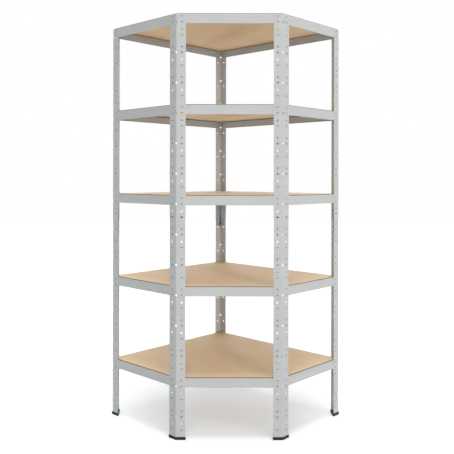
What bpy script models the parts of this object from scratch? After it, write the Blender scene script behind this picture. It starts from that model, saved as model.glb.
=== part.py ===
"""Boltless corner shelving unit: five angle uprights in two lengths, hooked beams, loose boards.

Seen from above the unit is a pentagon that stands in the corner of a room. Two long sides lie
along the walls, two ends stand square to the walls, and the front runs across the corner.
Units are metres, Z is up, the front faces -Y and the floor is Z = 0.
"""

import math

import bmesh
import bpy
from mathutils import Vector


# Plan, measured over the outer faces of the uprights
wall_side = 0.750
end_side = 0.430

# Gap left between pieces that touch
seat_gap = 0.0003

# Uprights: sheet steel angles, each in two equal lengths
post_half_length = 0.900
post_flange = 0.040
steel_sheet = 0.0010

# Perforation of an upright, which repeats down each half
periods_per_half = 7
hole_column = 0.0235
upper_slot_drop = 0.011
slot_spacing = 0.024
round_hole_drop = 0.066
slot_width = 0.0055
slot_height = 0.0085
round_hole_radius = 0.0045
round_hole_sides = 6
bend_hole_radius = 0.0045
bend_hole_sides = 4
cut_overrun = 0.0020

# Shelf beams: folded sheet with a rounded rim, a ledge for the board and a lip
shelf_count = 5
periods_per_shelf = 3
beam_height = 0.040
rim_width = 0.0022
rim_segments = 2
ledge_drop = 0.0055
ledge_width = 0.016
lip_width = 0.008
end_clearance = 0.0005
tab_proud = 0.0008

# Boards
board_thickness = 0.008
board_clearance = 0.0015

# Connectors inside the uprights, at the joint of the two halves
connector_length = 0.115
connector_leg = 0.034
connector_sheet = 0.0012
connector_slot_width = 0.0065
connector_slot_height = 0.0120

# Feet: moulded caps under the uprights
foot_wall = 0.0018
foot_height = 0.012
foot_base = 0.003

# Plan derived from the driving sizes
front_side = math.sqrt(2.0) * (wall_side - end_side)
end_reach = end_side / math.sqrt(2.0)
half_width = wall_side / math.sqrt(2.0)
corner_depth = end_reach + half_width
foot_reach = foot_wall + seat_gap
corner_half_angle = math.radians(45.0)
front_half_angle = math.radians(67.5)
plan_front = -foot_reach
plan_back = corner_depth + foot_reach / math.sin(corner_half_angle)
plan_shift = -0.5 * (plan_front + plan_back)

# Heights derived from the driving sizes
pitch = post_half_length / periods_per_half
lower_slot_drop = upper_slot_drop + slot_spacing
lower_post_z = foot_base + seat_gap
upper_post_z = lower_post_z + post_half_length + seat_gap
splice_z = lower_post_z + post_half_length + 0.5 * seat_gap
beam_outer = steel_sheet + seat_gap
beam_end_gap = bend_hole_radius + end_clearance

UP = Vector((0.0, 0.0, 1.0))

# Corners of the pentagon, anticlockwise seen from above, with half the angle inside each
CORNERS = [
    ("front_left", Vector((-0.5 * front_side, plan_shift, 0.0)), front_half_angle),
    ("front_right", Vector((0.5 * front_side, plan_shift, 0.0)), front_half_angle),
    ("right_end", Vector((half_width, plan_shift + end_reach, 0.0)), corner_half_angle),
    ("back_corner", Vector((0.0, plan_shift + corner_depth, 0.0)), corner_half_angle),
    ("left_end", Vector((-half_width, plan_shift + end_reach, 0.0)), corner_half_angle),
]
SIDES = ["front", "right_side", "right_back", "left_back", "left_side"]


def make_material(name, colour, roughness, metallic):
    """A Principled surface with one colour, roughness and metallic value."""
    material = bpy.data.materials.new(name)
    material.use_nodes = True
    shader = material.node_tree.nodes["Principled BSDF"]
    shader.inputs["Base Color"].default_value = (*colour, 1.0)
    shader.inputs["Roughness"].default_value = roughness
    shader.inputs["Metallic"].default_value = metallic
    return material


def place(name, mesh, material, location, turn):
    """Put one named object in the scene, turned about Z."""
    piece = bpy.data.objects.new(name, mesh)
    piece.location = location
    piece.rotation_euler = (0.0, 0.0, turn)
    if not mesh.materials:
        mesh.materials.append(material)
    bpy.context.scene.collection.objects.link(piece)
    return piece


def skin_rings(bm, first, second):
    """Close the body between two rings of points that run the same way round."""
    low = [bm.verts.new(point) for point in first]
    high = [bm.verts.new(point) for point in second]
    bm.faces.new(reversed(low))
    bm.faces.new(high)
    for i in range(len(low)):
        j = (i + 1) % len(low)
        bm.faces.new((low[i], low[j], high[j], high[i]))


def finish_mesh(bm, name):
    """Turn the faces outwards and store the mesh."""
    bmesh.ops.recalc_face_normals(bm, faces=bm.faces)
    mesh = bpy.data.meshes.new(name)
    bm.to_mesh(mesh)
    bm.free()
    return mesh


def upright_prism(outline, bottom, top, name):
    """A body with a flat outline in plan and vertical walls."""
    bm = bmesh.new()
    skin_rings(bm, [Vector((x, y, bottom)) for x, y in outline],
               [Vector((x, y, top)) for x, y in outline])
    return finish_mesh(bm, name)


def combine(base, tool, operation):
    """The mesh that is left when one mesh cuts, or is joined to, another."""
    body = bpy.data.objects.new("body", base)
    helper = bpy.data.objects.new("helper", tool)
    helper.hide_render = True
    helper.display_type = "WIRE"
    for piece in (body, helper):
        bpy.context.scene.collection.objects.link(piece)
    boolean = body.modifiers.new("boolean", "BOOLEAN")
    boolean.operation = operation
    boolean.solver = "EXACT"
    boolean.object = helper
    view = bpy.context.evaluated_depsgraph_get()
    result = bpy.data.meshes.new_from_object(body.evaluated_get(view))
    result.name = base.name
    for piece in (body, helper):
        bpy.data.objects.remove(piece)
    return result


def leg_directions(half_angle, side):
    """Direction along one leg of an angle and its inward normal; side is -1 or 1."""
    along = Vector((side * math.sin(half_angle), math.cos(half_angle), 0.0))
    inward = Vector((-side * math.cos(half_angle), math.sin(half_angle), 0.0))
    return along, inward


def leg_end(half_angle, side, reach, depth):
    """Plan point at a leg's end, a depth inside the outer face."""
    along, inward = leg_directions(half_angle, side)
    point = reach * along + depth * inward
    return point.x, point.y


def angle_outline(half_angle, leg, outer, inner, filled=False):
    """Outline of an angle whose faces lie outer and inner from the corner's edges.

    The corner is the origin and +Y bisects the angle. A filled outline closes straight
    across from leg to leg.
    """
    outline = [(0.0, outer / math.sin(half_angle))]
    outline.append(leg_end(half_angle, 1, leg, outer))
    outline.append(leg_end(half_angle, 1, leg, inner))
    if not filled:
        outline.append((0.0, inner / math.sin(half_angle)))
    outline.append(leg_end(half_angle, -1, leg, inner))
    outline.append(leg_end(half_angle, -1, leg, outer))
    return outline


def add_pin(bm, section, centre, across, through, start, end):
    """A pin whose section lies in across and up, from start to end measured from its centre."""
    ring = [centre + a * across + b * UP for a, b in section]
    skin_rings(bm, [point + start * through for point in ring],
               [point + end * through for point in ring])


def rectangle(width, height):
    """Section of a slot or a tab."""
    return [(0.5 * a * width, 0.5 * b * height) for a, b in ((1, 1), (-1, 1), (-1, -1), (1, -1))]


def round_section(radius, sides):
    """Section of a round hole, with a corner at its top."""
    turns = [math.tau * i / sides for i in range(sides)]
    return [(radius * math.sin(turn), radius * math.cos(turn)) for turn in turns]


def add_bend_hole(bm, half_angle, height, inner):
    """Pin for the hole on the bend, long enough to pass a wall whose inside is inner deep."""
    depth = (inner + bend_hole_radius * math.cos(half_angle)) / math.sin(half_angle)
    add_pin(bm, round_section(bend_hole_radius, bend_hole_sides), height * UP,
            Vector((1, 0, 0)), Vector((0, 1, 0)), -cut_overrun, depth + cut_overrun)


def post_cutter(half_angle):
    """Everything punched out of one half of an upright."""
    bm = bmesh.new()
    slot = rectangle(slot_width, slot_height)
    hole = round_section(round_hole_radius, round_hole_sides)
    punches = [(slot, upper_slot_drop), (slot, lower_slot_drop), (hole, round_hole_drop)]
    for period in range(periods_per_half):
        level = post_half_length - period * pitch
        for side in (-1, 1):
            along, inward = leg_directions(half_angle, side)
            for section, drop in punches:
                add_pin(bm, section, hole_column * along + (level - drop) * UP, along, inward,
                        -cut_overrun, steel_sheet + cut_overrun)
        add_bend_hole(bm, half_angle, level - lower_slot_drop, steel_sheet)
    return finish_mesh(bm, "post_cutter")


def post_mesh(half_angle):
    """Half of an upright, its bend on the Z axis and its lower end at the origin."""
    outline = angle_outline(half_angle, post_flange, 0.0, steel_sheet)
    blank = upright_prism(outline, 0.0, post_half_length, "post_half")
    return combine(blank, post_cutter(half_angle), "DIFFERENCE")


def connector_mesh(half_angle, open_bend):
    """Angle that sleeves the joint from inside, open behind the lower half's first holes."""
    face = steel_sheet + seat_gap
    inner = face + connector_sheet
    outline = angle_outline(half_angle, connector_leg, face, inner)
    blank = upright_prism(outline, -0.5 * connector_length, 0.5 * connector_length, "connector")
    lower_top = -0.5 * seat_gap
    slot = rectangle(connector_slot_width, connector_slot_height)
    bm = bmesh.new()
    for side in (-1, 1):
        along, inward = leg_directions(half_angle, side)
        for drop in (upper_slot_drop, lower_slot_drop):
            add_pin(bm, slot, hole_column * along + (lower_top - drop) * UP, along, inward,
                    face - cut_overrun, inner + cut_overrun)
    if open_bend:
        add_bend_hole(bm, half_angle, lower_top - lower_slot_drop, inner)
    return combine(blank, finish_mesh(bm, "slots"), "DIFFERENCE")


def foot_mesh(half_angle, filled):
    """Cap with a pocket that the upright stands in."""
    outline = angle_outline(half_angle, post_flange + foot_reach, -foot_reach,
                            steel_sheet + foot_reach, filled)
    body = upright_prism(outline, 0.0, foot_height, "foot")
    pocket = angle_outline(half_angle, post_flange + seat_gap, -seat_gap, steel_sheet + seat_gap)
    hollow = upright_prism(pocket, foot_base, foot_height + cut_overrun, "pocket")
    return combine(body, hollow, "DIFFERENCE")


def beam_profile():
    """Section of a beam: distance inwards from the outer line of the plan, and height."""
    inner_rim = beam_outer + rim_width
    radius = 0.5 * rim_width
    profile = []
    for i in range(rim_segments + 1):
        turn = math.pi * i / rim_segments
        profile.append((beam_outer + radius - radius * math.cos(turn),
                        -radius + radius * math.sin(turn)))
    profile.append((inner_rim, -ledge_drop))
    profile.append((beam_outer + ledge_width, -ledge_drop))
    profile.append((beam_outer + ledge_width, -ledge_drop - steel_sheet))
    profile.append((beam_outer + steel_sheet, -ledge_drop - steel_sheet))
    profile.append((beam_outer + steel_sheet, steel_sheet - beam_height))
    profile.append((beam_outer + lip_width, steel_sheet - beam_height))
    profile.append((beam_outer + lip_width, -beam_height))
    profile.append((beam_outer, -beam_height))
    return profile


def mitre(half_angle, inset):
    """Distance from a corner to a beam's mitred end, clear of the bend hole, at an inset from the edge."""
    return inset / math.tan(half_angle) + beam_end_gap / math.sin(half_angle)


def beam_mesh(length, start_half_angle, end_half_angle):
    """Beam along +X from one corner to the next, its rim at Z = 0 and inwards +Y."""
    profile = beam_profile()
    bm = bmesh.new()
    skin_rings(bm, [Vector((mitre(start_half_angle, y), y, z)) for y, z in profile],
               [Vector((length - mitre(end_half_angle, y), y, z)) for y, z in profile])
    bar = finish_mesh(bm, "beam")
    bm = bmesh.new()
    tab = rectangle(slot_width - 2.0 * seat_gap, slot_height - 2.0 * seat_gap)
    for column in (hole_column, length - hole_column):
        for drop in (upper_slot_drop, lower_slot_drop):
            add_pin(bm, tab, Vector((column, 0.0, -drop)), Vector((1, 0, 0)),
                    Vector((0, 1, 0)), -tab_proud, beam_outer + 0.5 * steel_sheet)
    return combine(bar, finish_mesh(bm, "tabs"), "UNION")


def board_mesh():
    """Board that fills the plan inside the beams' rims."""
    inset = beam_outer + rim_width + board_clearance
    outline = []
    for index, (name, corner, half_angle) in enumerate(CORNERS):
        inwards = inset / math.sin(half_angle) * bisector(index)
        outline.append((corner.x + inwards.x, corner.y + inwards.y))
    return upright_prism(outline, 0.0, board_thickness, "board")


def bisector(index):
    """Unit direction from a corner into the plan, halfway between its two sides."""
    corner = CORNERS[index][1]
    before = (CORNERS[index - 1][1] - corner).normalized()
    after = (CORNERS[(index + 1) % len(CORNERS)][1] - corner).normalized()
    return (before + after).normalized()


def half_top(is_upper):
    """Height of the top of the upper or lower halves."""
    return (upper_post_z if is_upper else lower_post_z) + post_half_length


def shelf_level(shelf):
    """Height of the beams' rims, shelf 1 at the bottom, taken from the half that holds them."""
    periods = (shelf_count - shelf) * periods_per_shelf
    if periods < periods_per_half:
        return half_top(True) - periods * pitch
    return half_top(False) - (periods - periods_per_half) * pitch


def build_uprights(steel, bracket_steel, plastic):
    """Both halves of each upright, its connector and its foot.

    Wide angles have a connector open behind the bend hole, and a foot that is open inside.
    """
    meshes = {}
    for half_angle, wide in ((front_half_angle, True), (corner_half_angle, False)):
        meshes[half_angle] = (post_mesh(half_angle), connector_mesh(half_angle, wide),
                              foot_mesh(half_angle, not wide))
    for index, (name, corner, half_angle) in enumerate(CORNERS):
        post, connector, foot = meshes[half_angle]
        inwards = bisector(index)
        turn = math.atan2(-inwards.x, inwards.y)
        place(f"{name}_post_lower", post, steel, corner + lower_post_z * UP, turn)
        place(f"{name}_post_upper", post, steel, corner + upper_post_z * UP, turn)
        place(f"{name}_connector", connector, bracket_steel, corner + splice_z * UP, turn)
        place(f"{name}_foot", foot, plastic, corner, turn)


def build_shelves(steel, board_wood):
    """Five beams and a board for each shelf."""
    board = board_mesh()
    beams = []
    for index in range(len(SIDES)):
        following = (index + 1) % len(CORNERS)
        run = CORNERS[following][1] - CORNERS[index][1]
        mesh = beam_mesh(run.length, CORNERS[index][2], CORNERS[following][2])
        beams.append((mesh, CORNERS[index][1], math.atan2(run.y, run.x)))
    for shelf in range(1, shelf_count + 1):
        level = shelf_level(shelf)
        for side, (mesh, corner, turn) in zip(SIDES, beams):
            place(f"shelf_{shelf}_{side}_beam", mesh, steel, corner + level * UP, turn)
        seat = level - ledge_drop + seat_gap
        place(f"shelf_{shelf}_board", board, board_wood, seat * UP, 0.0)


for old in list(bpy.data.objects):
    bpy.data.objects.remove(old)

coated_steel = make_material("coated_steel", (0.59, 0.61, 0.60), 0.42, 0.0)
zinc_steel = make_material("zinc_steel", (0.20, 0.21, 0.21), 0.45, 1.0)
fibreboard = make_material("fibreboard", (0.52, 0.37, 0.22), 0.75, 0.0)
black_plastic = make_material("black_plastic", (0.012, 0.012, 0.013), 0.50, 0.0)

build_uprights(coated_steel, zinc_steel, black_plastic)
build_shelves(coated_steel, fibreboard)
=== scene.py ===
"""Looks of a boltless steel corner shelving unit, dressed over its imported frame.

Units are metres, Z is up, the front faces -Y and the floor is Z = 0. The sections follow the unit
as it is put together: uprights, feet, connectors, beams and boards. Floor, light and camera follow.
"""

import math

import bmesh
import bpy
from mathutils import Matrix, Vector


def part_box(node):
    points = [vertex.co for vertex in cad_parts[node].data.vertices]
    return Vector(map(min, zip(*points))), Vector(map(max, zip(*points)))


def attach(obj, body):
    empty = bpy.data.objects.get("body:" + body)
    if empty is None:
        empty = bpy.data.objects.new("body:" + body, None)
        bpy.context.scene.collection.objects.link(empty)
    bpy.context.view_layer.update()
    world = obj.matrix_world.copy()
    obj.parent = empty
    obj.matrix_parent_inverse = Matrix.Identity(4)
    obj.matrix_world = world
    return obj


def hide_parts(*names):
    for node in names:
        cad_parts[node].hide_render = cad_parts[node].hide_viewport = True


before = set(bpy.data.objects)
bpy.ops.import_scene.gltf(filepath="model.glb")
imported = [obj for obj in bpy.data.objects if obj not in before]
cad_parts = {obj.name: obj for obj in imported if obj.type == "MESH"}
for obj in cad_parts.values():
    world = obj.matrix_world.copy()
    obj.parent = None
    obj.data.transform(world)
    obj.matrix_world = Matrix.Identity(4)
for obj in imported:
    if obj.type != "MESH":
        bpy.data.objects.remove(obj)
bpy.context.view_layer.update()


# Uprights
# Five steel angles stand at the corners of the plan, each in two equal halves. A half is sheet
# steel, punched in a press line with one row of holes and pockets over and over, then bent along
# its middle and powder coated. The front two are bent to 135 degrees, the other three to 90.

# The sheet. A half angle is the one between a leg and the line that halves the bend.
front_half_angle = math.radians(67.5)
corner_half_angle = math.radians(45.0)
sheet = 0.0010
bend_radius = 0.0022
edge_share = 0.45
end_ease = 0.0002
seat_gap = 0.0003

# One row of holes, on both legs. A drop is how far the middle of a hole lies below its row's top.
periods_per_half = 7
periods_per_shelf = 3
hole_column = 0.0235
slit_drop = 0.011
slit_width = 0.0068
slit_height = 0.0080
slit_top_radius = 0.45 * slit_width
slit_foot_radius = 0.2 * slit_width
arch_drop = 0.035
arch_width = 0.0095
arch_height = 0.0075
arch_top_radius = 0.45 * arch_width
arch_foot_radius = 0.1 * arch_width
oval_drop = 0.066
oval_width = 0.0082
oval_height = 0.0070
pocket_drop = 0.090
pocket_width = 0.0120
pocket_height = 0.0050
pocket_radius = 0.4 * pocket_height
bend_hole_radius = 0.0045
hook_slots = ((slit_width, slit_height, slit_drop), (arch_width, arch_height, arch_drop))

# Tongues behind the slits and arches, and the shallower pockets, both of thinned sheet.
tongue_depth = 0.0035
pocket_depth = 0.0016
tongue_sheet = 0.0007
tongue_lap = 0.4 * sheet
tongue_fullness = 0.8
# Pocket faces that look up more steeply than this get painted shade.
shaded_slope = 0.1

# Facets of the shapes above, and how far a punch runs past the sheet.
arc_steps = 6
slot_arc_steps = 4
hole_sides = 24
scoop_steps_across = 10
scoop_steps_up = 6
crease_angle = math.radians(32.0)
punch_overrun = 0.002

# Plain tone, clouds and specks of the powder coat.
coat_colours = ((0.578, 0.578, 0.561), (0.608, 0.608, 0.590), (0.52, 0.52, 0.505))


# Outlines and bodies, for the later sections too

def round_corners(points, radii, steps):
    """The outline with an arc of a given radius in place of each corner."""
    outline = []
    for index, (point, radius) in enumerate(zip(points, radii)):
        corner = Vector(point)
        before = (Vector(points[index - 1]) - corner).normalized()
        after = (Vector(points[(index + 1) % len(points)]) - corner).normalized()
        half = 0.5 * before.angle(after)
        centre = corner + radius / math.sin(half) * (before + after).normalized()
        start = corner + radius / math.tan(half) * before - centre
        end = corner + radius / math.tan(half) * after - centre
        for step in range(steps + 1):
            outline.append(centre + radius * start.slerp(end, step / steps))
    return outline


def skin_rings(bm, rings):
    """Close the body between rings of points that run the same way round."""
    loops = [[bm.verts.new(point) for point in ring] for ring in rings]
    bm.faces.new(reversed(loops[0]))
    bm.faces.new(loops[-1])
    for low, high in zip(loops, loops[1:]):
        for i in range(len(low)):
            j = (i + 1) % len(low)
            bm.faces.new((low[i], low[j], high[j], high[i]))


def finish_mesh(bm, name):
    """Turn the faces outwards and store the mesh."""
    bmesh.ops.recalc_face_normals(bm, faces=bm.faces)
    mesh = bpy.data.meshes.new(name)
    bm.to_mesh(mesh)
    bm.free()
    return mesh


def upright_prism(outline, bottom, top, name):
    """A body with a flat outline in plan and vertical walls."""
    bm = bmesh.new()
    skin_rings(bm, [[Vector((p[0], p[1], z)) for p in outline] for z in (bottom, top)])
    return finish_mesh(bm, name)


def leg_seat(half_angle, side, height):
    """Matrix that lays X along one leg of an angle and Y inwards through it, at the hole column."""
    turn = Matrix.Rotation(side * (0.5 * math.pi - half_angle), 4, "Z")
    return turn @ Matrix.Translation(Vector((side * hole_column, 0.0, height)))


def angle_corners(half_angle, leg, outer, inner):
    """Corners of an angle's section between two depths inside the plan.

    The first is the outer corner and the fourth the inner one. The plan's corner is the origin, and
    +Y bisects it.
    """
    points = [Vector((0.0, outer / math.sin(half_angle)))]
    for side, depths in ((1, (outer, inner)), (-1, (inner, outer))):
        along = Vector((side * math.sin(half_angle), math.cos(half_angle)))
        inward = Vector((-side * math.cos(half_angle), math.sin(half_angle)))
        points += [leg * along + depth * inward for depth in depths]
    points.insert(3, Vector((0.0, inner / math.sin(half_angle))))
    return points


def angle_outline(half_angle, leg, outer, thickness, radius):
    """Section of a bent angle of sheet whose outer face is at a depth inside the plan."""
    points = angle_corners(half_angle, leg, outer, outer + thickness)
    edge = edge_share * thickness
    return round_corners(points, [radius + thickness, edge, edge, radius, edge, edge], arc_steps)


def rounded_slot(width, height, top_radius, foot_radius):
    """Section of a slot, in across and up, with one radius for its upper corners and one below."""
    corners = [(0.5 * a * width, 0.5 * b * height) for a, b in ((1, 1), (-1, 1), (-1, -1), (1, -1))]
    radii = [top_radius, top_radius, foot_radius, foot_radius]
    return round_corners(corners, radii, slot_arc_steps)


def oval_section(width, height):
    """Section of an oval or round hole."""
    turns = [math.tau * i / hole_sides for i in range(hole_sides)]
    return [Vector((0.5 * width * math.cos(turn), 0.5 * height * math.sin(turn))) for turn in turns]


def add_pin(bm, section, start, end, seat):
    """A pin along Y from start to end whose section lies in X and Z, moved by a matrix."""
    skin_rings(bm, [[seat @ Vector((p.x, depth, p.y)) for p in section] for depth in (start, end)])


def add_bend_pin(bm, half_angle, inner, height):
    """The pin for the round hole on the bend, through walls whose inside is inner deep."""
    depth = (inner + bend_hole_radius * math.cos(half_angle)) / math.sin(half_angle)
    hole = oval_section(2.0 * bend_hole_radius, 2.0 * bend_hole_radius)
    add_pin(bm, hole, -punch_overrun, depth + punch_overrun,
            Matrix.Translation(Vector((0.0, 0.0, height))))


def add_scoop(bm, width, height, depth, seat):
    """A tongue or pocket pressed inwards behind its hole: a half dome that is open at its top."""
    walls = []
    for skin in (0.0, tongue_sheet):
        rows = []
        for j in range(scoop_steps_up + 1):
            rise = j / scoop_steps_up
            bulge = (depth + skin) * math.sin(0.5 * math.pi * rise) ** tongue_fullness
            row = []
            for i in range(scoop_steps_across + 1):
                turn = math.pi * i / scoop_steps_across
                x = -(0.5 * width + skin) * math.cos(turn)
                y = 0.5 * sheet + (bulge + 0.5 * sheet) * math.sin(turn)
                z = -0.5 * height - skin + rise * (height + skin + tongue_lap)
                row.append(bm.verts.new(seat @ Vector((x, y, z))))
            rows.append(row)
        walls.append(rows)
    inner, outer = walls
    for rows in walls:
        for low, high in zip(rows, rows[1:]):
            for i in range(scoop_steps_across):
                bm.faces.new((low[i], low[i + 1], high[i + 1], high[i]))
    for row in (0, -1):
        for i in range(scoop_steps_across):
            bm.faces.new((inner[row][i], inner[row][i + 1], outer[row][i + 1], outer[row][i]))
    for j in range(scoop_steps_up):
        for i in (0, -1):
            bm.faces.new((inner[j][i], inner[j + 1][i], outer[j + 1][i], outer[j][i]))


# Node trees, for the later sections too

def add_node(tree, kind, **settings):
    """A node with its settings."""
    node = tree.nodes.new(kind)
    for key, value in settings.items():
        setattr(node, key, value)
    return node


def add_math(tree, operation, first, second):
    """What an operation makes of two values, each a number or a socket."""
    node = add_node(tree, "ShaderNodeMath", operation=operation)
    for socket, value in zip(node.inputs, (first, second)):
        if isinstance(value, bpy.types.NodeSocket):
            tree.links.new(value, socket)
        else:
            socket.default_value = value
    return node.outputs["Value"]


# Press line, for uprights and connectors

def tool_object(bm, name):
    """A press tool as an object, for the press line to repeat."""
    tool = bpy.data.objects.new(name, finish_mesh(bm, name))
    bpy.context.scene.collection.objects.link(tool)
    return tool


def press_line_tree():
    """Geometry Nodes for sheet work: punches cut rows from a blank, tongues and pockets join it."""
    tree = bpy.data.node_groups.new("press_line", "GeometryNodeTree")
    for kind, names in (("Geometry", ["Blank"]), ("Object", ["Punches", "Tongues", "Pockets"]),
                        ("Int", ["Strokes", "Skip First", "Skip Every", "Pocket Strokes"]),
                        ("Vector", ["Step"]), ("Float", ["Crease Angle"]),
                        ("Material", ["Finish", "Painted Shade Finish"])):
        for name in names:
            tree.interface.new_socket(name, in_out="INPUT", socket_type=f"NodeSocket{kind}")
    tree.interface.new_socket("Pressing", in_out="OUTPUT", socket_type="NodeSocketGeometry")
    given = tree.nodes.new("NodeGroupInput").outputs
    link = tree.links.new

    row = add_node(tree, "GeometryNodeMeshLine", mode="OFFSET", count_mode="TOTAL")
    link(given["Strokes"], row.inputs["Count"])
    link(given["Step"], row.inputs["Offset"])

    def stamped(tool, selection=None):
        """The tool at each stroke, or at the selected ones, as real geometry."""
        source = add_node(tree, "GeometryNodeObjectInfo", transform_space="ORIGINAL")
        source.inputs["As Instance"].default_value = True
        link(given[tool], source.inputs["Object"])
        stamp = tree.nodes.new("GeometryNodeInstanceOnPoints")
        link(row.outputs["Mesh"], stamp.inputs["Points"])
        link(source.outputs["Geometry"], stamp.inputs["Instance"])
        if selection is not None:
            link(selection, stamp.inputs["Selection"])
        real = tree.nodes.new("GeometryNodeRealizeInstances")
        link(stamp.outputs["Instances"], real.inputs["Geometry"])
        return real.outputs["Geometry"]

    cut = add_node(tree, "GeometryNodeMeshBoolean", operation="DIFFERENCE", solver="EXACT")
    link(given["Blank"], cut.inputs["Mesh 1"])
    link(stamped("Punches"), cut.inputs["Mesh 2"])

    # A stroke has tongues where its count from Skip First isn't a multiple of Skip Every. What is
    # left over is a whole number, so over a half means not zero. The first strokes have pockets.
    stroke = tree.nodes.new("GeometryNodeInputIndex").outputs["Index"]
    count = add_math(tree, "SUBTRACT", stroke, given["Skip First"])
    left_over = add_math(tree, "FLOORED_MODULO", count, given["Skip Every"])
    free = add_math(tree, "GREATER_THAN", left_over, 0.5)
    early = add_math(tree, "LESS_THAN", stroke, given["Pocket Strokes"])

    # Painted shade, a darker finish, goes where a tongue's faces look outwards and where a pocket's
    # look up.
    facing = tree.nodes.new("GeometryNodeInputNormal")
    parts = tree.nodes.new("ShaderNodeSeparateXYZ")
    link(facing.outputs["Normal"], parts.inputs["Vector"])
    joined = tree.nodes.new("GeometryNodeJoinGeometry")
    marks = []
    for tool, chosen, along, side, limit in (("Tongues", free, "Y", "LESS_THAN", 0.0),
                                             ("Pockets", early, "Z", "GREATER_THAN", shaded_slope)):
        mark = add_node(tree, "GeometryNodeCaptureAttribute", domain="FACE")
        mark.capture_items.new("BOOLEAN", "Hollow")
        link(add_math(tree, side, parts.outputs[along], limit), mark.inputs["Hollow"])
        link(stamped(tool, chosen), mark.inputs["Geometry"])
        link(mark.outputs["Geometry"], joined.inputs["Geometry"])
        marks.append(mark)
    link(cut.outputs["Mesh"], joined.inputs["Geometry"])
    shaded_hollow = add_math(tree, "MAXIMUM", *[mark.outputs["Hollow"] for mark in marks])

    smooth = add_node(tree, "GeometryNodeSetShadeSmooth", domain="FACE")
    link(joined.outputs["Geometry"], smooth.inputs["Geometry"])
    fold = tree.nodes.new("GeometryNodeInputMeshEdgeAngle").outputs["Unsigned Angle"]
    creased = add_math(tree, "GREATER_THAN", fold, given["Crease Angle"])
    sharp = add_node(tree, "GeometryNodeSetShadeSmooth", domain="EDGE")
    sharp.inputs["Shade Smooth"].default_value = False
    link(smooth.outputs["Geometry"], sharp.inputs["Geometry"])
    link(creased, sharp.inputs["Selection"])

    real = tree.nodes.new("GeometryNodeRealizeInstances")
    link(sharp.outputs["Geometry"], real.inputs["Geometry"])
    coat = tree.nodes.new("GeometryNodeSetMaterial")
    link(real.outputs["Geometry"], coat.inputs["Geometry"])
    link(given["Finish"], coat.inputs["Material"])
    # The hollows get a darker copy of the finish: painted shade.
    shade_paint = tree.nodes.new("GeometryNodeSetMaterial")
    link(coat.outputs["Geometry"], shade_paint.inputs["Geometry"])
    link(shaded_hollow, shade_paint.inputs["Selection"])
    link(given["Painted Shade Finish"], shade_paint.inputs["Material"])
    link(shade_paint.outputs["Geometry"], tree.nodes.new("NodeGroupOutput").inputs["Pressing"])
    return tree


def evaluated_mesh(body):
    """The plain mesh of an object with its modifiers applied. The object itself is removed."""
    bpy.context.scene.collection.objects.link(body)
    view = bpy.context.evaluated_depsgraph_get()
    mesh = bpy.data.meshes.new_from_object(body.evaluated_get(view))
    body.modifiers.clear()
    bpy.data.objects.remove(body)
    return mesh


def flat_shaded_mesh(body):
    """The plain mesh of an object with its flat faces shaded flat and its sharp edges kept."""
    shading = body.modifiers.new("shading", "WEIGHTED_NORMAL")
    shading.keep_sharp = True
    return evaluated_mesh(body)


def press(blank, tools, values):
    """The plain mesh of a blank that has run through the press line with its tools."""
    inputs = [item for item in press_line.interface.items_tree if item.in_out == "INPUT"]
    sockets = {item.name: item.identifier for item in inputs}
    body = bpy.data.objects.new("body", blank)
    line = body.modifiers.new("press_line", "NODES")
    line.node_group = press_line
    objects = {name: tool_object(bm, name) for name, bm in tools.items()}
    for name, value in {**objects, **values, "Crease Angle": crease_angle}.items():
        line[sockets[name]] = value
    mesh = flat_shaded_mesh(body)
    for tool in objects.values():
        bpy.data.objects.remove(tool)
    return mesh


# Surfaces, for the later sections too

def new_material(name, colour, roughness, metallic=0.0):
    """A Principled surface and the parts of its node tree that a pattern is added to."""
    material = bpy.data.materials.new(name)
    material.use_nodes = True
    shader = material.node_tree.nodes["Principled BSDF"]
    shader.inputs["Base Color"].default_value = (*colour, 1.0)
    shader.inputs["Roughness"].default_value = roughness
    shader.inputs["Metallic"].default_value = metallic
    return material, material.node_tree, shader


def add_noise(tree, scale, detail=2.0, stretch=(1.0, 1.0, 1.0)):
    """Noise in object space, drawn out where stretch is below one; returns its factor."""
    place = tree.nodes.new("ShaderNodeTexCoord")
    mapping = tree.nodes.new("ShaderNodeMapping")
    mapping.inputs["Scale"].default_value = stretch
    noise = tree.nodes.new("ShaderNodeTexNoise")
    noise.inputs["Scale"].default_value = scale
    noise.inputs["Detail"].default_value = detail
    tree.links.new(place.outputs["Object"], mapping.inputs["Vector"])
    tree.links.new(mapping.outputs["Vector"], noise.inputs["Vector"])
    return noise.outputs["Fac"]


def add_range(tree, factor, low, high, start=0.3, end=0.7):
    """A factor that runs from start to end, spread from low to high and held there."""
    spread = tree.nodes.new("ShaderNodeMapRange")
    spread.inputs["From Min"].default_value = start
    spread.inputs["From Max"].default_value = end
    spread.inputs["To Min"].default_value = low
    spread.inputs["To Max"].default_value = high
    tree.links.new(factor, spread.inputs["Value"])
    return spread.outputs["Result"]


def add_mix(tree, factor, first, second):
    """Two colours, or a socket and a colour, mixed by a factor."""
    mix = add_node(tree, "ShaderNodeMix", data_type="RGBA")
    tree.links.new(factor, mix.inputs["Factor"])
    # The node has sockets of the same names for each kind of data, and these are its colours.
    first_colour, second_colour, mixed_colour = mix.inputs[6], mix.inputs[7], mix.outputs[2]
    for socket, value in ((first_colour, first), (second_colour, second)):
        if isinstance(value, bpy.types.NodeSocket):
            tree.links.new(value, socket)
        else:
            socket.default_value = (*value, 1.0)
    return mixed_colour


def add_bump(tree, shader, height, strength, distance):
    """Relief from a height, given to the shader."""
    bump = tree.nodes.new("ShaderNodeBump")
    bump.inputs["Strength"].default_value = strength
    bump.inputs["Distance"].default_value = distance
    tree.links.new(height, bump.inputs["Height"])
    tree.links.new(bump.outputs["Normal"], shader.inputs["Normal"])


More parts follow.
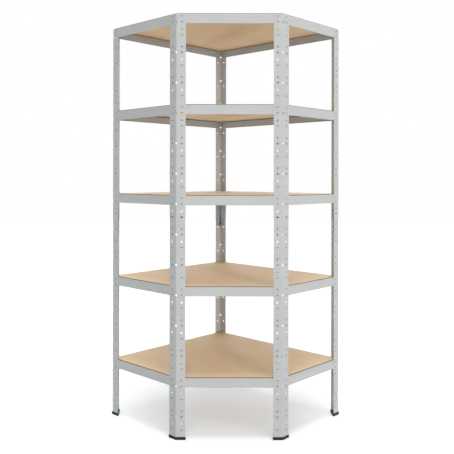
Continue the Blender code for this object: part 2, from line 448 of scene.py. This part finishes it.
def powder_coat(name, shade_scale):
    """Grey powder coat: fine orange peel, specks in the pigment and a slightly uneven sheen.

    A shade scale below one darkens all the coat: painted shade for hollows and hooks' upper sides.
    """
    plain, clouded, specked = [[shade_scale * value for value in colour] for colour in coat_colours]
    material, tree, shader = new_material(name, plain, roughness=0.42)
    cloud = add_range(tree, add_noise(tree, scale=7.0), low=0.0, high=1.0)
    tone = add_mix(tree, cloud, plain, clouded)
    pigment = add_noise(tree, scale=2600.0, detail=1.0)
    speck = add_range(tree, pigment, low=0.0, high=0.5, start=0.62, end=0.72)
    tree.links.new(add_mix(tree, speck, tone, specked), shader.inputs["Base Color"])
    sheen = add_range(tree, add_noise(tree, scale=40.0), low=0.38, high=0.47)
    tree.links.new(sheen, shader.inputs["Roughness"])
    peel = add_noise(tree, scale=850.0, detail=1.0)
    add_bump(tree, shader, peel, strength=0.25, distance=0.0001)
    return material


# Places of the uprights, and the uprights themselves

def corner_points():
    """Where the uprights' outer faces meet in plan, anticlockwise, read from the frame."""
    front_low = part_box("front_right_post_lower")[0]
    end_low, end_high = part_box("right_end_post_lower")
    back_low, back_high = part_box("back_corner_post_lower")
    front = Vector((front_low.x + leg_length, front_low.y, 0.0))
    end = Vector((end_high.x, 0.5 * (end_low.y + end_high.y), 0.0))
    mirror = Matrix.Scale(-1.0, 3, Vector((1.0, 0.0, 0.0)))
    back = Vector((0.5 * (back_low.x + back_high.x), back_high.y, 0.0))
    return [mirror @ front, front, end, back, mirror @ end]


def corner_turn(index):
    """Turn about Z that points +Y from a corner into the plan, halfway between its two sides."""
    before = (corners[index - 1] - corners[index]).normalized()
    after = (corners[(index + 1) % len(corners)] - corners[index]).normalized()
    inwards = before + after
    return math.atan2(-inwards.x, inwards.y)


def set_piece(name, mesh, location, turn, node):
    """A finished piece, its place in its mesh, that rides on the frame in place of its node."""
    mesh = mesh.copy()
    mesh.transform(Matrix.Translation(location) @ Matrix.Rotation(turn, 4, "Z"))
    piece = bpy.data.objects.new(name, mesh)
    bpy.context.scene.collection.objects.link(piece)
    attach(piece, "root")
    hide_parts(node)


def upright_mesh(half_angle, length, skip_first, pocket_strokes):
    """Half of an upright with its lower end at the origin and its rows counted from its top.

    Beams hook into the row skip_first and every third one from it, so those have no tongues. The
    first pocket_strokes rows have pockets.
    """
    outline = angle_outline(half_angle, leg_length, 0.0, sheet, bend_radius)
    blank = upright_prism(outline, end_ease, length - end_ease, "upright")
    slit = rounded_slot(slit_width, slit_height, slit_top_radius, slit_foot_radius)
    arch = rounded_slot(arch_width, arch_height, arch_top_radius, arch_foot_radius)
    pocket = rounded_slot(pocket_width, pocket_height, pocket_radius, pocket_radius)
    oval = oval_section(oval_width, oval_height)
    punches = bmesh.new()
    tongues = bmesh.new()
    pockets = bmesh.new()
    for side in (-1, 1):
        for section, drop in ((slit, slit_drop), (arch, arch_drop), (oval, oval_drop),
                              (pocket, pocket_drop)):
            seat = leg_seat(half_angle, side, length - drop)
            add_pin(punches, section, -punch_overrun, sheet + punch_overrun, seat)
        for width, height, drop in hook_slots:
            seat = leg_seat(half_angle, side, length - drop)
            add_scoop(tongues, width, height, tongue_depth, seat)
        seat = leg_seat(half_angle, side, length - pocket_drop)
        add_scoop(pockets, pocket_width, pocket_height, pocket_depth, seat)
    add_bend_pin(punches, half_angle, sheet, length - arch_drop)
    return press(blank, {"Punches": punches, "Tongues": tongues, "Pockets": pockets}, {
        "Strokes": periods_per_half, "Step": (0.0, 0.0, -period), "Skip First": skip_first,
        "Skip Every": periods_per_shelf, "Pocket Strokes": pocket_strokes,
        "Finish": coated_steel, "Painted Shade Finish": painted_shade_coat})


leg_low, leg_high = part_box("front_left_post_lower")
leg_length = (leg_high.x - leg_low.x) / (1.0 - math.cos(2.0 * front_half_angle))
half_length = leg_high.z - leg_low.z
period = half_length / periods_per_half
corner_names = ["front_left", "front_right", "right_end", "back_corner", "left_end"]
half_angles = [front_half_angle] * 2 + [corner_half_angle] * 3
corners = corner_points()
coated_steel = powder_coat("powder_coat", shade_scale=1.0)
# A darker copy of the coat is painted shade in the hollows of the tongues and pockets.
painted_shade_coat = powder_coat("painted_shade_powder_coat", shade_scale=0.58)
press_line = press_line_tree()

# Beams hook in at every third period, counted from the top of the upper half. The connector's
# pockets take the place of the upper half's last ones.
upper_meshes = {}
lower_meshes = {}
for half_angle in (front_half_angle, corner_half_angle):
    upper_meshes[half_angle] = upright_mesh(
        half_angle, half_length, skip_first=0, pocket_strokes=periods_per_half - 1)
    lower_meshes[half_angle] = upright_mesh(
        half_angle, half_length, skip_first=-periods_per_half % periods_per_shelf,
        pocket_strokes=periods_per_half)

for index, name in enumerate(corner_names):
    for half, meshes in (("lower", lower_meshes), ("upper", upper_meshes)):
        node = f"{name}_post_{half}"
        base = corners[index] + Vector((0.0, 0.0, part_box(node)[0].z))
        set_piece(f"{name}_upright_{half}", meshes[half_angles[index]], base, corner_turn(index),
                  node)


# Feet
# A black moulded cap closes the lower end of each upright. The ones on the right angles fill the
# open side as well. The plastic is matt with a fine spark-eroded grain and softly rounded edges.

foot_wall = 0.0018
foot_base = 0.003
foot_edge = 0.0007
foot_clearance = 0.5 * seat_gap
plastic_black = (0.006, 0.006, 0.007)


def moulded_plastic():
    """Black polypropylene with the fine even grain of its mould."""
    material, tree, shader = new_material("moulded_plastic", plastic_black, roughness=0.55)
    shader.inputs["Specular IOR Level"].default_value = 0.3
    grain = add_noise(tree, scale=1800.0)
    tree.links.new(add_range(tree, grain, low=0.47, high=0.64), shader.inputs["Roughness"])
    add_bump(tree, shader, grain, strength=0.35, distance=0.00015)
    return material


def foot_outline(half_angle, outset, filled):
    """Outline that stands outset from the steel all round.

    A filled one leaves out the inner corner and runs straight across the angle's open side.
    """
    points = angle_corners(half_angle, leg_length + outset, -outset, sheet + outset)
    if filled:
        del points[3]
    return points


def boolean_mesh(base, tool, operation):
    """The mesh that is left when one mesh cuts, or joins, another."""
    body = bpy.data.objects.new("body", base)
    helper = bpy.data.objects.new("helper", tool)
    bpy.context.scene.collection.objects.link(helper)
    boolean = body.modifiers.new("boolean", "BOOLEAN")
    boolean.operation = operation
    boolean.solver = "EXACT"
    boolean.object = helper
    result = evaluated_mesh(body)
    bpy.data.objects.remove(helper)
    return result


def eased_mesh(mesh, width, segments):
    """The mesh with its sharp edges rounded over."""
    body = bpy.data.objects.new("body", mesh)
    bevel = body.modifiers.new("bevel", "BEVEL")
    bevel.width = width
    bevel.segments = segments
    bevel.limit_method = "ANGLE"
    bevel.angle_limit = crease_angle
    bevel.harden_normals = True
    mesh.polygons.foreach_set("use_smooth", [True] * len(mesh.polygons))
    return evaluated_mesh(body)


def foot_mesh(half_angle, filled, height):
    """Cap with a pocket for the steel."""
    outline = foot_outline(half_angle, foot_wall + seat_gap, filled)
    body = upright_prism(outline, 0.0, height, "foot")
    steel = foot_outline(half_angle, foot_clearance, filled=False)
    pocket = upright_prism(steel, foot_base, height + punch_overrun, "pocket")
    mesh = eased_mesh(boolean_mesh(body, pocket, "DIFFERENCE"), foot_edge, segments=3)
    mesh.materials.clear()
    mesh.materials.append(black_plastic)
    return mesh


black_plastic = moulded_plastic()
foot_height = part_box("front_left_foot")[1].z
foot_meshes = {
    front_half_angle: foot_mesh(front_half_angle, filled=False, height=foot_height),
    corner_half_angle: foot_mesh(corner_half_angle, filled=True, height=foot_height)}
for index, name in enumerate(corner_names):
    set_piece(f"{name}_cap", foot_meshes[half_angles[index]], corners[index], corner_turn(index),
              f"{name}_foot")


# Connectors
# A short inner angle of zinc-plated steel sleeves the joint of the two halves. Keyholes slip over
# the lower half's tongues, so it locks there as the beams do. Bare zinc, not coated.

connector_leg = 0.034
connector_sheet = 0.0012
connector_bend_radius = 0.5 * bend_radius
keyhole_clearance = 0.0006
keyhole_rise = 0.0015
keyhole_roundness = 0.45
connector_pocket_depth = 0.0030
zinc_dull = (0.14, 0.145, 0.15)
zinc_clean = (0.56, 0.57, 0.58)


def zinc_plate(name, shade_scale):
    """Electroplated zinc: cool grey with lines drawn along the strip; shade scale below one paints
    shade.
    """
    dull, clean = [[shade_scale * value for value in colour] for colour in (zinc_dull, zinc_clean)]
    material, tree, shader = new_material(name, dull, roughness=0.38, metallic=1.0)
    lines = add_noise(tree, scale=110.0, detail=3.0, stretch=(1.0, 1.0, 0.04))
    cleaner = add_range(tree, lines, low=0.0, high=1.0, start=0.38, end=0.62)
    tree.links.new(add_mix(tree, cleaner, dull, clean), shader.inputs["Base Color"])
    bloom = add_noise(tree, scale=90.0, detail=3.0)
    tree.links.new(add_range(tree, bloom, low=0.30, high=0.48), shader.inputs["Roughness"])
    add_bump(tree, shader, lines, strength=0.15, distance=0.0001)
    return material


def connector_mesh(half_angle, length, open_bend):
    """Angle inside the joint, its middle at the origin.

    Keyholes below the joint are for the tongues. The pockets above it lie behind the upright's last
    pocket holes, and are pressed at one stroke where tongues would be.
    """
    face = sheet + seat_gap
    outline = angle_outline(half_angle, connector_leg, face, connector_sheet, connector_bend_radius)
    blank = upright_prism(outline, -0.5 * length, 0.5 * length, "connector")
    punches = bmesh.new()
    pockets = bmesh.new()
    through = face + connector_sheet + punch_overrun
    pocket = rounded_slot(pocket_width, pocket_height, pocket_radius, pocket_radius)
    for side in (-1, 1):
        for width, height, drop in hook_slots:
            width += 2.0 * (tongue_sheet + keyhole_clearance)
            height += 2.0 * keyhole_rise
            radius = keyhole_roundness * min(width, height)
            keyhole = rounded_slot(width, height, radius, radius)
            add_pin(punches, keyhole, -punch_overrun, through, leg_seat(half_angle, side, -drop))
        seat = leg_seat(half_angle, side, period - pocket_drop)
        add_pin(punches, pocket, -punch_overrun, through, seat)
        add_scoop(pockets, pocket_width, pocket_height, connector_pocket_depth,
                  seat @ Matrix.Translation(Vector((0.0, face, 0.0))))
    if open_bend:
        add_bend_pin(punches, half_angle, face + connector_sheet, -arch_drop)
    return press(blank, {"Punches": punches, "Tongues": pockets}, {
        "Strokes": 1, "Skip First": 1, "Skip Every": 2, "Finish": zinc_steel,
        "Painted Shade Finish": painted_shade_zinc})


zinc_steel = zinc_plate("zinc_plate", shade_scale=1.0)
# A darker copy of the zinc is painted shade inside the connector's pockets.
painted_shade_zinc = zinc_plate("painted_shade_zinc_plate", shade_scale=0.3)
connector_low, connector_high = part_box("back_corner_connector")
connector_length = connector_high.z - connector_low.z
connector_meshes = {}
for half_angle, open_bend in ((front_half_angle, True), (corner_half_angle, False)):
    connector_meshes[half_angle] = connector_mesh(half_angle, connector_length, open_bend)
for index, name in enumerate(corner_names):
    middle = corners[index] + Vector((0.0, 0.0, 0.5 * (connector_low.z + connector_high.z)))
    set_piece(f"{name}_joint_angle", connector_meshes[half_angles[index]], middle,
              corner_turn(index), f"{name}_connector")


# Beams
# Each shelf has five folded steel beams. The sheet is hemmed to a rounded rim, folds in to a ledge
# with a turned-down nose that carries the board, and runs down as the face to a stiffening lip. Two
# hooks pressed at each end drop into the uprights' slots. The coat is the uprights' own.

rim_width = 0.0022
rim_radius = 0.48 * rim_width
ledge_drop = 0.0055
ledge_radius = 0.0005
ledge_width = 0.016
ledge_fall = 0.0045
nose_radius = 0.0016
nose_drop = 0.0045
lip_width = 0.008
fold_radius = 0.0010
end_gap = 0.0050
hook_proud = 0.0004
hook_nose = 0.0012
hook_foot_share = 0.7
hook_shade_slope = 0.1


def beam_profile(height):
    """Section of a beam: distance inwards from the plan's outer line, and height below the rim."""
    outer = sheet + seat_gap
    hem = outer + rim_width
    web = outer + sheet
    ledge = outer + ledge_width
    lip = outer + lip_width
    edge = edge_share * sheet
    end = -ledge_drop - ledge_fall
    points = [(outer, 0.0), (hem, 0.0), (hem, -ledge_drop), (ledge, end), (ledge, end - nose_drop),
              (ledge - sheet, end - nose_drop), (ledge - sheet, end - sheet),
              (web, -ledge_drop - sheet), (web, sheet - height), (lip, sheet - height),
              (lip, -height), (outer, -height)]
    radii = [rim_radius, rim_radius, ledge_radius, nose_radius, edge, edge,
             nose_radius - sheet, fold_radius, fold_radius, edge, edge, fold_radius + sheet]
    return round_corners(points, radii, arc_steps)


def mitre(half_angle, inset):
    """Distance from a corner to a beam's mitred end at an inset from the plan's outer line."""
    return inset / math.tan(half_angle) + end_gap / math.sin(half_angle)


def add_hook(bm, column, base, top):
    """A hook pressed from the beam's face into a slot, proud at its base and curving back above."""
    across = 0.5 * slit_width - seat_gap
    root = sheet + seat_gap + 0.5 * sheet
    reach = root + hook_proud
    points = [(root, base), (root - hook_foot_share * reach, base)]
    for i in range(arc_steps + 1):
        turn = 0.5 * math.pi * i / arc_steps
        rise = hook_nose + (top - base - hook_nose) * math.sin(turn)
        points.append((root - reach * math.cos(turn), base + rise))
    rings = [[Vector((column + x, y, z)) for y, z in points] for x in (-across, across)]
    skin_rings(bm, rings)


def beam_mesh(length, height, start_half_angle, end_half_angle):
    """Beam along +X from one corner to the next, its rim at Z = 0 and inwards +Y."""
    profile = beam_profile(height)
    bar = bmesh.new()
    skin_rings(bar, [[Vector((mitre(start_half_angle, p.x), p.x, p.y)) for p in profile],
                     [Vector((length - mitre(end_half_angle, p.x), p.x, p.y)) for p in profile]])
    hooks = bmesh.new()
    for column in (hole_column, length - hole_column):
        for _, slot_height, drop in hook_slots:
            half = 0.5 * slot_height
            add_hook(hooks, column, base=seat_gap - half - drop, top=half - seat_gap - drop)
    return boolean_mesh(finish_mesh(bar, "beam"), finish_mesh(hooks, "hooks"), "UNION")


def shaded_mesh(mesh):
    """The coated beam with smooth bends, sharp folds and flat faces shaded flat.

    The upper sides of its hooks have a much darker copy of the coat: painted shade in the slots.
    """
    mesh.materials.clear()
    for material in (coated_steel, hook_shade_coat):
        mesh.materials.append(material)
    for polygon in mesh.polygons:
        # Hook faces that look up, inside the slots, get painted shade.
        in_shade = polygon.center.y < sheet and polygon.normal.z > hook_shade_slope
        polygon.material_index = 1 if in_shade else 0
    mesh.polygons.foreach_set("use_smooth", [True] * len(mesh.polygons))
    mesh.set_sharp_from_angle(angle=crease_angle)
    return flat_shaded_mesh(bpy.data.objects.new("body", mesh))


# A much darker copy of the coat is painted shade on the hooks' upper sides.
hook_shade_coat = powder_coat("hook_shade_powder_coat", shade_scale=0.25)
side_names = ["front", "right_side", "right_back", "left_back", "left_side"]
shelf_count = 5
rim_low, rim_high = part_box("shelf_1_front_beam")
beam_height = rim_high.z - rim_low.z
for index, side in enumerate(side_names):
    following = (index + 1) % len(corners)
    run = corners[following] - corners[index]
    folded = beam_mesh(run.length, beam_height, half_angles[index], half_angles[following])
    mesh = shaded_mesh(folded)
    for shelf in range(1, shelf_count + 1):
        node = f"shelf_{shelf}_{side}_beam"
        rim = corners[index] + Vector((0.0, 0.0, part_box(node)[1].z))
        set_piece(f"shelf_{shelf}_{side}_rail", mesh, rim, math.atan2(run.y, run.x), node)


# Boards
# A loose pentagon of raw fibreboard drops inside each shelf's rims and rests on the ledges. Its
# pressed faces are smooth and tan with short pale and dark fibres, and one soft darker streak from
# the back to the front right; its sawn edges are darker.

board_edge = 0.0004
streak_middle = (0.058, -0.09)
streak_turn = math.radians(-66.6)
streak_reach = (0.40, 0.09)
streak_height = 1000.0
flat_rise = 0.9

# Plain tone, clouds, felt, specks and streak of the pressed faces. Plain, dark and pale tone of the
# sawn edges.
board_colours = ((0.74, 0.535, 0.315), (0.81, 0.605, 0.375), (0.82, 0.635, 0.42),
                 (0.42, 0.29, 0.17), (0.62, 0.44, 0.255))
# The sawn edges' dark tone is partly the fibreboard's own and partly painted shade for the lines
# along the rims.
sawn_colours = ((0.22, 0.145, 0.09), (0.18, 0.115, 0.07), (0.27, 0.18, 0.11))


def add_streak(tree):
    """How strong the streak is: most along its middle, none at its edges, and uneven with noise.

    It is far higher than the unit, so it lies at the same place in plan on each board.
    """
    place = tree.nodes.new("ShaderNodeTexCoord")
    mapping = add_node(tree, "ShaderNodeMapping", vector_type="TEXTURE")
    mapping.inputs["Location"].default_value = (*streak_middle, 0.0)
    mapping.inputs["Rotation"].default_value = (0.0, 0.0, streak_turn)
    mapping.inputs["Scale"].default_value = (*streak_reach, streak_height)
    streak = add_node(tree, "ShaderNodeTexGradient", gradient_type="SPHERICAL")
    tree.links.new(place.outputs["Object"], mapping.inputs["Vector"])
    tree.links.new(mapping.outputs["Vector"], streak.inputs["Vector"])
    patches = add_range(tree, add_noise(tree, scale=14.0, detail=3.0), low=0.5, high=1.1)
    return add_math(tree, "MULTIPLY", streak.outputs["Fac"], patches)


def pressed_fibreboard(name, tint):
    """Face of the board: clouds of tone, felted fibres, fine dark specks and the streak."""
    plain, clouded, felted, specked, streaked = [
        [a * b for a, b in zip(tint, colour)] for colour in board_colours]
    material, tree, shader = new_material(name, plain, roughness=0.65)
    cloud = add_range(tree, add_noise(tree, scale=9.0, detail=4.0), low=0.0, high=1.0)
    tone = add_mix(tree, cloud, plain, clouded)
    felt = add_range(tree, add_noise(tree, scale=240.0, detail=5.0), low=0.0, high=0.55)
    tone = add_mix(tree, felt, tone, felted)
    chips = add_noise(tree, scale=900.0, stretch=(1.0, 0.35, 1.0))
    speck = add_range(tree, chips, low=0.0, high=0.5, start=0.60, end=0.72)
    tone = add_mix(tree, speck, tone, specked)
    streak = add_range(tree, add_streak(tree), low=0.0, high=0.7, start=0.0, end=0.8)
    tone = add_mix(tree, streak, tone, streaked)
    tree.links.new(tone, shader.inputs["Base Color"])
    fibres = add_noise(tree, scale=700.0, detail=3.0, stretch=(0.4, 1.0, 1.0))
    tree.links.new(add_range(tree, fibres, low=0.56, high=0.72), shader.inputs["Roughness"])
    add_bump(tree, shader, fibres, strength=0.3, distance=0.0002)
    return material


def sawn_fibreboard():
    """Edge of the board: darker core with the layers of the press and the saw's marks."""
    plain, dark, pale = sawn_colours
    material, tree, shader = new_material("sawn_fibreboard", plain, roughness=0.85)
    layers = add_noise(tree, scale=500.0, detail=3.0, stretch=(0.12, 0.12, 1.0))
    tone = add_mix(tree, add_range(tree, layers, low=0.0, high=1.0), dark, pale)
    tree.links.new(tone, shader.inputs["Base Color"])
    add_bump(tree, shader, layers, strength=0.5, distance=0.0003)
    return material


def board_mesh(inset, thickness):
    """Board that fills the plan at an inset from its outer line, its lower face at Z = 0."""
    outline = []
    for index, corner in enumerate(corners):
        turn = corner_turn(index)
        inwards = Vector((-math.sin(turn), math.cos(turn), 0.0))
        outline.append(corner + inset / math.sin(half_angles[index]) * inwards)
    mesh = eased_mesh(upright_prism(outline, 0.0, thickness, "board"), board_edge, segments=2)
    mesh.materials.clear()
    for material in (board_face, board_underside, board_side):
        mesh.materials.append(material)
    for polygon in mesh.polygons:
        if polygon.normal.z > flat_rise:
            polygon.material_index = 0
        elif polygon.normal.z < -flat_rise:
            polygon.material_index = 1
        else:
            polygon.material_index = 2
    return mesh


board_face = pressed_fibreboard("pressed_fibreboard", tint=(1.0, 1.0, 1.0))
# The underside is a warmer, slightly darker copy of the face: painted shade for the light it gets
# from the floor below.
board_underside = pressed_fibreboard("pressed_fibreboard_underside", tint=(1.02, 0.97, 0.91))
board_side = sawn_fibreboard()
board_low, board_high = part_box("shelf_1_board")
board = board_mesh(board_low.y - corners[0].y, board_high.z - board_low.z)
for shelf in range(1, shelf_count + 1):
    node = f"shelf_{shelf}_board"
    set_piece(f"shelf_{shelf}_panel", board, Vector((0.0, 0.0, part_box(node)[0].z)), 0.0, node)


# Floor and backdrop
# The unit stands on a pale studio floor that runs out of sight and shows only its soft shadow. The
# background is white to the camera and in reflections.

floor_reach = 14.0
floor_colour = (0.79, 0.84, 0.89)
seen_colour = (0.98, 0.99, 1.0)
lift_colour = (0.78, 0.89, 1.0)
floor_lift = 0.312
room_light = 0.03


def seen_directly(tree):
    """One where a ray comes from the camera, or from it by way of a reflection or a clear body."""
    path = tree.nodes.new("ShaderNodeLightPath")
    seen = path.outputs["Is Camera Ray"]
    for kind in ("Is Glossy Ray", "Is Transmission Ray"):
        seen = add_math(tree, "MAXIMUM", seen, path.outputs[kind])
    return seen


def studio_floor():
    """Pale matt floor, lifted to white for the camera wherever no shadow lies on it."""
    material, tree, shader = new_material("studio_floor", floor_colour, roughness=0.9)
    shader.inputs["Specular IOR Level"].default_value = 0.0
    shader.inputs["Emission Color"].default_value = (*lift_colour, 1.0)
    seen = seen_directly(tree)
    tree.links.new(add_mix(tree, seen, floor_colour, seen_colour), shader.inputs["Base Color"])
    lift = add_range(tree, seen, low=0.0, high=floor_lift, start=0.0, end=1.0)
    tree.links.new(lift, shader.inputs["Emission Strength"])
    return material


def floor_mesh():
    """One flat square."""
    bm = bmesh.new()
    bmesh.ops.create_grid(bm, x_segments=1, y_segments=1, size=floor_reach)
    return finish_mesh(bm, "studio_floor")


floor = bpy.data.objects.new("studio_floor", floor_mesh())
floor.data.materials.append(studio_floor())
bpy.context.scene.collection.objects.link(floor)

world = bpy.data.worlds.new("studio")
world.use_nodes = True
bpy.context.scene.world = world
backdrop = world.node_tree
level = add_range(backdrop, seen_directly(backdrop), low=room_light, high=1.0, start=0.0, end=1.0)
background = backdrop.nodes["Background"].inputs
background["Color"].default_value = (1.0, 1.0, 1.0, 1.0)
backdrop.links.new(level, background["Strength"])


# Lights
# An overhead light gives the soft-edged shadow on the floor, and a ceiling light fills it from all
# round. A front light reaches the near half of each shelf. Two low narrow ones reach in as far as
# the back upright, the right one stronger so that faces that look left are darker. A low wide one
# from behind reaches the shelves' tops.


def add_sun(name, azimuth, elevation, strength, spread):
    """Distant soft light from an elevation and an azimuth, 0 at the front and 90 at the right."""
    light = bpy.data.lights.new(name, "SUN")
    light.energy = strength
    light.angle = math.radians(spread)
    lamp = bpy.data.objects.new(name, light)
    turn = math.radians(azimuth)
    rise = math.radians(elevation)
    flat = math.cos(rise)
    back = Vector((math.sin(turn) * flat, -math.cos(turn) * flat, math.sin(rise)))
    lamp.rotation_mode = "QUATERNION"
    lamp.rotation_quaternion = back.to_track_quat("Z", "Y")
    bpy.context.scene.collection.objects.link(lamp)


add_sun("overhead_light", azimuth=0.0, elevation=84.5, strength=1.02, spread=20.0)
add_sun("ceiling_light", azimuth=0.0, elevation=88.0, strength=0.56, spread=170.0)
add_sun("front_light", azimuth=0.0, elevation=50.0, strength=0.66, spread=40.0)
add_sun("low_right_light", azimuth=40.0, elevation=5.0, strength=1.20, spread=26.0)
add_sun("low_left_light", azimuth=-15.0, elevation=5.0, strength=0.19, spread=26.0)
add_sun("back_light", azimuth=180.0, elevation=15.0, strength=1.86, spread=100.0)


# Camera
# Level but for a hair of roll, at a little over half the unit's height and a little left of its
# middle. The frame is a crop of a wider picture, so the lens is shifted.

photo_side = 454.0
focal_pixels = 655.6
optical_centre = (190.4, 176.5)
sensor_width = 36.0
camera_roll = 0.0018
camera_offset = -0.166
camera_distance = 2.773
camera_height = 1.114

camera = bpy.data.cameras.new("camera")
camera.sensor_width = sensor_width
camera.lens = focal_pixels * sensor_width / photo_side
camera.shift_x = 0.5 - optical_centre[0] / photo_side
camera.shift_y = optical_centre[1] / photo_side - 0.5
viewer = bpy.data.objects.new("camera", camera)
viewer.location = (camera_offset, corners[0].y - camera_distance, camera_height)
viewer.rotation_euler = (0.5 * math.pi, -camera_roll, 0.0)
bpy.context.scene.collection.objects.link(viewer)
bpy.context.scene.camera = viewer
bpy.context.scene.view_settings.view_transform = "Standard"
